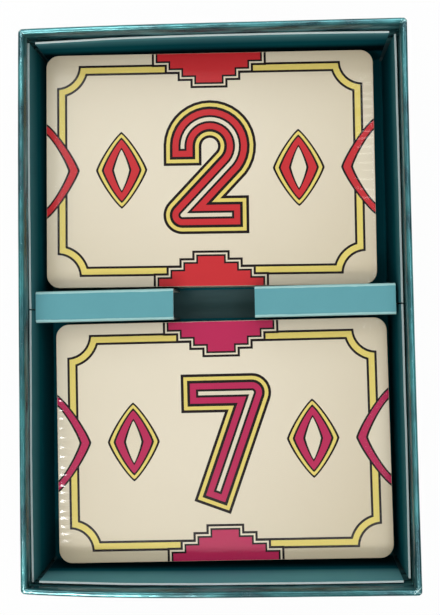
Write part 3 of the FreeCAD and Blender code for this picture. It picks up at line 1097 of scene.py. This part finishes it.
def ink(name, base, cloud):
    """A flat printing ink with the paper's faint cloudiness."""
    made, tree, shader = start_material(name)
    grain = place_group(tree, paper_grain, Colour=base, Cloud_Colour=cloud, Cloud_Size=60.0,
                        Fibre_Size=2800.0, Clouding=0.45)
    tree.links.new(grain.outputs["Colour"], shader.inputs["Base Color"])
    shader.inputs["Roughness"].default_value = 0.4
    shader.inputs["Specular IOR Level"].default_value = 0.1
    bump(tree, shader, grain.outputs["Height"], INK_RELIEF, 0.5)
    return made


DARK, GOLD, MAIN, PALE = range(4)
dark_ink = ink("dark_ink", colour(24, 10, 10), colour(16, 6, 6))
gold_ink = ink("gold_ink", colour(232, 212, 116), colour(214, 194, 96))
red_ink = ink("red_ink", colour(206, 44, 50), colour(188, 34, 42))
magenta_ink = ink("magenta_ink", colour(192, 34, 88), colour(172, 26, 74))
pale_ink = ink("cream_ink", CREAM, CREAM_CLOUD)
print("inks: dark, gold, red, magenta, cream")

# %% Outlines of the ornaments
def lozenge(half_x, half_y, roundness=1.18, steps=64):
    """A lozenge with softened corners."""
    points = []
    for step in range(steps):
        angle = 2 * math.pi * step / steps
        cos, sin = math.cos(angle), math.sin(angle)
        points.append(Vector((half_x * math.copysign(abs(cos) ** (2 / roundness), cos),
                              half_y * math.copysign(abs(sin) ** (2 / roundness), sin))))
    return points


def scooped_frame(half_x, half_y, scoop, inset, steps=8):
    """A rectangle whose corners are cut by quarter circles, drawn that far inside its own outline."""
    radius = scoop + inset
    lean = math.asin(inset / radius)
    points = []
    for quarter, (sign_x, sign_y) in enumerate(((1, 1), (-1, 1), (-1, -1), (1, -1))):
        for step in range(steps + 1):
            turn = lean + (math.radians(90) - 2 * lean) * step / steps
            if quarter % 2:
                turn = math.radians(90) - turn
            points.append(Vector((sign_x * (half_x - radius * math.sin(turn)),
                                  sign_y * (half_y - radius * math.cos(turn)))))
    return points


def stepped_peak(half_width, height, steps, swell=0.0):
    """A stepped triangle that stands on the card's edge; swell widens it for an outline."""
    rise = height / steps
    points = []
    for step in range(steps):
        reach = half_width * (1 - step / steps) + swell
        points.append(Vector((reach, rise * step + (swell if step else 0))))
        points.append(Vector((reach, rise * (step + 1) + swell)))
    return points + [Vector((-point.x, point.y)) for point in reversed(points)]


print("lozenge of", len(lozenge(1, 1)), "points")

# %% Turning with a deck
UPPER_TURN, LOWER_TURN = -0.3, 0.4


def turned(point, middle, turn, height):
    """A place in a deck's own plane, turned with the deck and put at a height."""
    cos, sin = math.cos(turn), math.sin(turn)
    across = middle.x + point.x * cos - point.y * sin
    along = middle.y + point.x * sin + point.y * cos
    return Vector((across, along, height))


print("decks turned by", UPPER_TURN, "and", LOWER_TURN, "degrees")

# %% Plates of ink
INK_STEP = 0.004 * MM
INK_START = 0.25


class Print:
    """The plates printed on one card, in the card's own plane."""

    def __init__(self, card, turn_degrees):
        low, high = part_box(card)
        self.middle = (low + high) / 2
        self.top = high.z
        self.turn = math.radians(turn_degrees)
        self.points, self.faces, self.finish = [], [], []

    def put(self, point, level):
        """A place on the card, at a level of ink."""
        self.points.append(turned(point, self.middle, self.turn, self.top + level * INK_STEP))

    def plate(self, outline, level, finish):
        """A closed plate over an outline."""
        start, count = len(self.points), len(outline)
        for height in (INK_START, level):
            for point in outline:
                self.put(point, height)
        self.faces += loop_faces(2, count, start)
        self.finish += [finish] * (count + 2)

    def band(self, outer, inner, level, finish):
        """A closed band between two outlines with the same number of points."""
        start, count = len(self.points), len(outer)
        for outline, height in ((outer, INK_START), (outer, level), (inner, level), (inner, INK_START)):
            for point in outline:
                self.put(point, height)
        for loop in range(4):
            for place in range(count):
                after = (place + 1) % count
                here, there = start + loop * count, start + (loop + 1) % 4 * count
                self.faces.append((here + place, here + after, there + after, there + place))
                self.finish.append(finish)

    def nest(self, outline_at, layers, level):
        """Plates on top of each other, each drawn in by a distance from the widest."""
        for inset, finish in layers:
            self.plate(outline_at(inset), level, finish)
            level += 1


print("ink step:", INK_STEP / MM, "mm")

# %% Plain numbers
STROKE_SHARP = math.radians(20)


def arc(middle, radius, start, end, steps):
    """Points on an arc, with its angles in degrees."""
    turns = [math.radians(start + (end - start) * step / steps) for step in range(steps + 1)]
    return [Vector(middle) + radius * Vector((math.cos(turn), math.sin(turn))) for turn in turns]


def stroke_side(path, half_width):
    """One side of a broad pen stroke along a path: rounded outside a sharp turn, pointed inside it."""
    runs = [(there - here).normalized() for here, there in zip(path, path[1:])]
    square = [Vector((-run.y, run.x)) * half_width for run in runs]
    side = [path[0] + square[0]]
    for here in range(1, len(path) - 1):
        turn = runs[here - 1].angle_signed(runs[here])
        if turn * half_width > 0 and abs(turn) > STROKE_SHARP:
            steps = max(2, round(abs(turn) / math.radians(10)))
            before, after = square[here - 1].normalized(), square[here].normalized()
            side += [path[here] + abs(half_width) * before.slerp(after, step / steps)
                     for step in range(steps + 1)]
        else:
            between = (square[here - 1] + square[here]).normalized()
            side.append(path[here] + between * abs(half_width) / math.cos(turn / 2))
    return side + [path[-1] + square[-1]]


def stroke(path, half_width, overrun):
    """The outline of a broad pen stroke, whose ends run on by overrun."""
    longer = [place.copy() for place in path]
    longer[0] += (path[0] - path[1]).normalized() * overrun
    longer[-1] += (path[-1] - path[-2]).normalized() * overrun
    return stroke_side(longer, half_width) + stroke_side(longer, -half_width)[::-1]


two = [Vector((-7.4, 3.4)) * MM] + arc((0, 6.2 * MM), 7.4 * MM, 178, -38, 22)
two += [Vector((-7.6, -12.5)) * MM, Vector((8, -12.5)) * MM]
seven = [Vector(place) * MM for place in ((-8.6, 12.5), (8.0, 12.5), (-2.4, -15.5))]
print("points in the numbers:", len(two), len(seven))

# %% A number in lines of ink
PEN_HALF = 2.7 * MM


def print_number(sheet, path, level):
    """A large number with a gold line between two dark ones round it, and a pale line within."""
    for swell, finish in ((2.45, DARK), (1.7, GOLD), (0.75, DARK), (0, MAIN), (-1.6, DARK), (-2.2, PALE)):
        sheet.plate(stroke(path, PEN_HALF + swell * MM, swell * MM), level, finish)
        level += 1
    return level


print("pen stroke:", 2 * PEN_HALF / MM, "mm wide")

# %% Face of a card
CARD_HALF_X, CARD_HALF_Y = 44.45 * MM, 31.75 * MM
FRAME_INSET, FRAME_WIDTH, SCOOP = 3.5 * MM, 1.55 * MM, 6.0 * MM
LINE = 0.62 * MM
EDGE_MARGIN = 0.05 * MM
SIDE_LOZENGE = (7.0 * MM, 10.5 * MM)
SIDE_LOZENGE_PLACE = 24 * MM
HALF_LOZENGE = (9 * MM, 13 * MM)
PEAK_HALF_WIDTH, PEAK_HEIGHT, PEAK_STEPS = 14 * MM, 8 * MM, 4


def print_face(name, card, body, turn_degrees, main_ink, number):
    """All the print on one card; it gives back the level that the number reaches."""
    sheet = Print(card, turn_degrees)
    frame_x, frame_y = CARD_HALF_X - FRAME_INSET, CARD_HALF_Y - FRAME_INSET

    def frame_line(inset):
        return scooped_frame(frame_x + LINE, frame_y + LINE, SCOOP, inset)

    sheet.band(frame_line(0), frame_line(FRAME_WIDTH + 2 * LINE), 1, DARK)
    sheet.band(frame_line(LINE), frame_line(FRAME_WIDTH + LINE), 2, GOLD)
    level = print_number(sheet, number, 1)
    for side in (1, -1):
        def side_lozenge(inset, side=side):
            middle = Vector((side * SIDE_LOZENGE_PLACE, 0))
            return [middle + point for point in lozenge(*(half - inset for half in SIDE_LOZENGE))]

        def peak(inset, side=side):
            outline = stepped_peak(PEAK_HALF_WIDTH, PEAK_HEIGHT, PEAK_STEPS, 2.5 * LINE - inset)
            return [Vector((side * point.x, side * (point.y - CARD_HALF_Y + EDGE_MARGIN)))
                    for point in outline]

        def half_lozenge(inset, side=side):
            whole = lozenge(*(half - inset for half in HALF_LOZENGE))
            right = [point for point in whole if point.x >= -1e-9]
            right.sort(key=lambda point: point.y)
            return [Vector((side * (point.x - CARD_HALF_X + EDGE_MARGIN), side * point.y))
                    for point in right]

        sheet.nest(side_lozenge, [(0, DARK), (LINE, GOLD), (2.5 * LINE, DARK), (3.5 * LINE, MAIN),
                                  (7 * LINE, DARK), (8 * LINE, PALE)], 1)
        sheet.nest(peak, [(0, DARK), (LINE, PALE), (1.7 * LINE, DARK), (2.5 * LINE, MAIN)], 3)
        sheet.nest(half_lozenge, [(0, DARK), (LINE, MAIN), (4.2 * LINE, DARK), (5.2 * LINE, PALE)], 3)
    make_piece(name, sheet.points, sheet.faces, [dark_ink, gold_ink, main_ink, pale_ink], body,
               face_finish=sheet.finish, crease=20)
    return level


top_level = print_face("upper_print", "upper_set_01", "upper_deck", UPPER_TURN, red_ink, two)
print_face("lower_print", "lower_set_01", "lower_deck", LOWER_TURN, magenta_ink, seven)
print("highest ink:", round(top_level * INK_STEP / MM, 3), "mm")

# %% [markdown]
# ## Shrink film
# Clear film is drawn tight round each deck. Over the flat faces it is smooth; along the edges it
# gathers in short puckers, and a raised seam runs round the sides. A pucker is a small ridge that runs in
# from the edge. Its flanks are straight, so a whole flank mirrors one spot and shows as a bright dash.
# A simulation could shrink the film, but here the puckers have to lie at the tight spots, so a rule places
# them with some chance in their spacing and size. The film is one closed skin. Its shader lets light
# straight through and mirrors a little, more at a slant.

# %% Film finish
MOST_MIRRORED = 0.15
FILM_TINT = (0.99, 0.99, 0.985, 1)
FILM_WRINKLE = 0.02 * MM

film_finish = bpy.data.materials.new("shrink_film")
film_finish.use_nodes = True
tree = film_finish.node_tree
tree.nodes.remove(tree.nodes["Principled BSDF"])
clear = add_node(tree, "ShaderNodeBsdfTransparent", {"Color": FILM_TINT})
sheet_place = stored(tree, "sheet_place", "Vector")
creases = place_group(tree, crinkle, Sheet_Place=sheet_place, Along=330.0, Across=60.0)
wrinkled = add_node(tree, "ShaderNodeBump", {"Height": creases.outputs["Height"], "Distance": FILM_WRINKLE,
                                             "Strength": 0.08})
gloss = add_node(tree, "ShaderNodeBsdfGlossy", {"Roughness": 0.16, "Normal": wrinkled.outputs["Normal"]})
mirror = add_node(tree, "ShaderNodeFresnel", {"IOR": 1.4})
mirrored = calculate(tree, "MINIMUM", mirror.outputs[0], MOST_MIRRORED)
mixed = add_node(tree, "ShaderNodeMixShader", {0: mirrored, 1: clear.outputs[0], 2: gloss.outputs[0]})
tree.links.new(mixed.outputs[0], tree.nodes["Material Output"].inputs["Surface"])
print("finish:", film_finish.name)

# %% Puckers along a deck's edge
FILM_SPACING = 0.18 * MM
FILM_CORNER_STEPS = 10
PUCKER_SPACING = 2.3 * MM
PUCKER_HALF_WIDTH = 0.6 * MM
SLACK_SLOPE, SLACK_REACH = 0.01, 1.5 * MM
PUCKER_START, PUCKER_TAIL = 0.5 * MM, 1.0 * MM


def puckers(outline, along, seed, tight_spots):
    """Random puckers round a deck: (place, half width, slope of the flanks, reach inwards)."""
    chance = random.Random(seed)
    found, place = [], 0.0
    while place < along[-1]:
        point = outline[bisect.bisect(along, place) - 1]
        slope, reach, half_width = SLACK_SLOPE, SLACK_REACH, PUCKER_HALF_WIDTH
        for spot, radius, spot_slope, spot_reach, spot_half_width in tight_spots:
            if (point - Vector(spot) * MM).length < radius * MM:
                slope, reach, half_width = spot_slope, spot_reach * MM, spot_half_width * MM
        found.append((place, half_width * chance.uniform(0.7, 1.2), slope * chance.uniform(0.88, 1.12),
                      reach * chance.uniform(0.7, 1.2)))
        place += PUCKER_SPACING * chance.uniform(0.75, 1.25)
    return found


def pucker_height(gathers, length, place, inset):
    """How far the film stands off at a place along the edge and a distance in from it."""
    total = 0.0
    for middle, half_width, slope, reach in gathers:
        away = abs(place - middle)
        away = min(away, length - away)
        if away < half_width:
            rise = min(1.0, inset / PUCKER_START, 1 - (inset - reach) / PUCKER_TAIL)
            total += slope * (half_width - away) * max(0.0, rise)
    return total


print("film points every", FILM_SPACING / MM, "mm")

# %% Film skin of a deck
FILM_TOP_INSETS = [0.15, 0.4, 0.8, 1.3, 2.0, 2.8, 3.8, 5.0, 6.5, 8.5, 11.0]
FILM_ROUND = 0.35 * MM
SEAM_PROUD, SEAM_HALF, SEAM_FLAT = 0.12 * MM, 0.5 * MM, 0.15 * MM
CARD_CORNER, FILM_LEAST_CORNER = 3.5 * MM, 0.3 * MM
FILM_ROOM = 0.1 * MM


def wrap_deck(name, node, body, turn_degrees, seed, tight_spots):
    """The film round one deck."""
    low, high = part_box(node)
    middle = (low + high) / 2
    turn = math.radians(turn_degrees)
    half_x, half_y = CARD_HALF_X + FILM_ROOM, CARD_HALF_Y + FILM_ROOM
    corner = CARD_CORNER + FILM_ROOM
    shares_x = even_shares(2 * (half_x - corner), FILM_SPACING)
    shares_y = even_shares(2 * (half_y - corner), FILM_SPACING)
    outline = rounded_loop(half_x, half_y, corner, shares_x, shares_y, FILM_CORNER_STEPS)
    along = distances(outline)
    length = along[-1] + (outline[0] - outline[-1]).length
    gathers = puckers(outline, along, seed, tight_spots)

    seam = (low.z + high.z) / 2
    profile = [(FILM_TOP_INSETS[-1] * MM, low.z), (1.0 * MM, low.z), (0.1 * MM, low.z + 0.1 * MM)]
    profile += [(0, low.z + FILM_ROUND), (0, seam - SEAM_HALF), (-SEAM_PROUD, seam - SEAM_FLAT),
                (-SEAM_PROUD, seam + SEAM_FLAT), (0, seam + SEAM_HALF)]
    profile += [(0, high.z - 4 * MM), (0, high.z - 2 * MM), (0, high.z - 1 * MM), (0, high.z - FILM_ROUND),
                (0.04 * MM, high.z - 0.15 * MM)]
    profile += [(inset * MM, high.z) for inset in FILM_TOP_INSETS]
    points, sheet_places = [], []
    for (inset, height), across in zip(profile, distances(profile)):
        sheet_places += [(place, across) for place in along]
        radius = max(corner - inset, FILM_LEAST_CORNER)
        loop = rounded_loop(half_x - inset, half_y - inset, radius, shares_x, shares_y, FILM_CORNER_STEPS)
        over = height > high.z - FILM_ROUND
        for place, point in zip(along, loop):
            stand = pucker_height(gathers, length, place, inset) if over else 0.0
            points.append(turned(point, middle, turn, height + stand))
    make_piece(name, points, loop_faces(len(profile), len(outline)), [film_finish], body,
               crease=60, sheet_places=sheet_places, stands_for=[node])


print("film seam:", SEAM_PROUD / MM, "mm proud")

# %% Film round both decks
# Each tight spot: its place and radius, the flanks' slope, the reach and half width of its puckers, in mm.
upper_tight = [((44.5, 8), 19, 0.14, 5.0, 0.9), ((44, -31), 6, 0.15, 1.5, 0.7)]
lower_tight = [((-44.5, -8), 20, 0.15, 1.6, 0.8), ((44, 31), 6, 0.15, 1.5, 0.7),
               ((44, -31), 6, 0.15, 1.5, 0.7)]
wrap_deck("upper_wrap", "upper_film", "upper_deck", UPPER_TURN, 7, upper_tight)
wrap_deck("lower_wrap", "lower_film", "lower_deck", LOWER_TURN, 11, lower_tight)
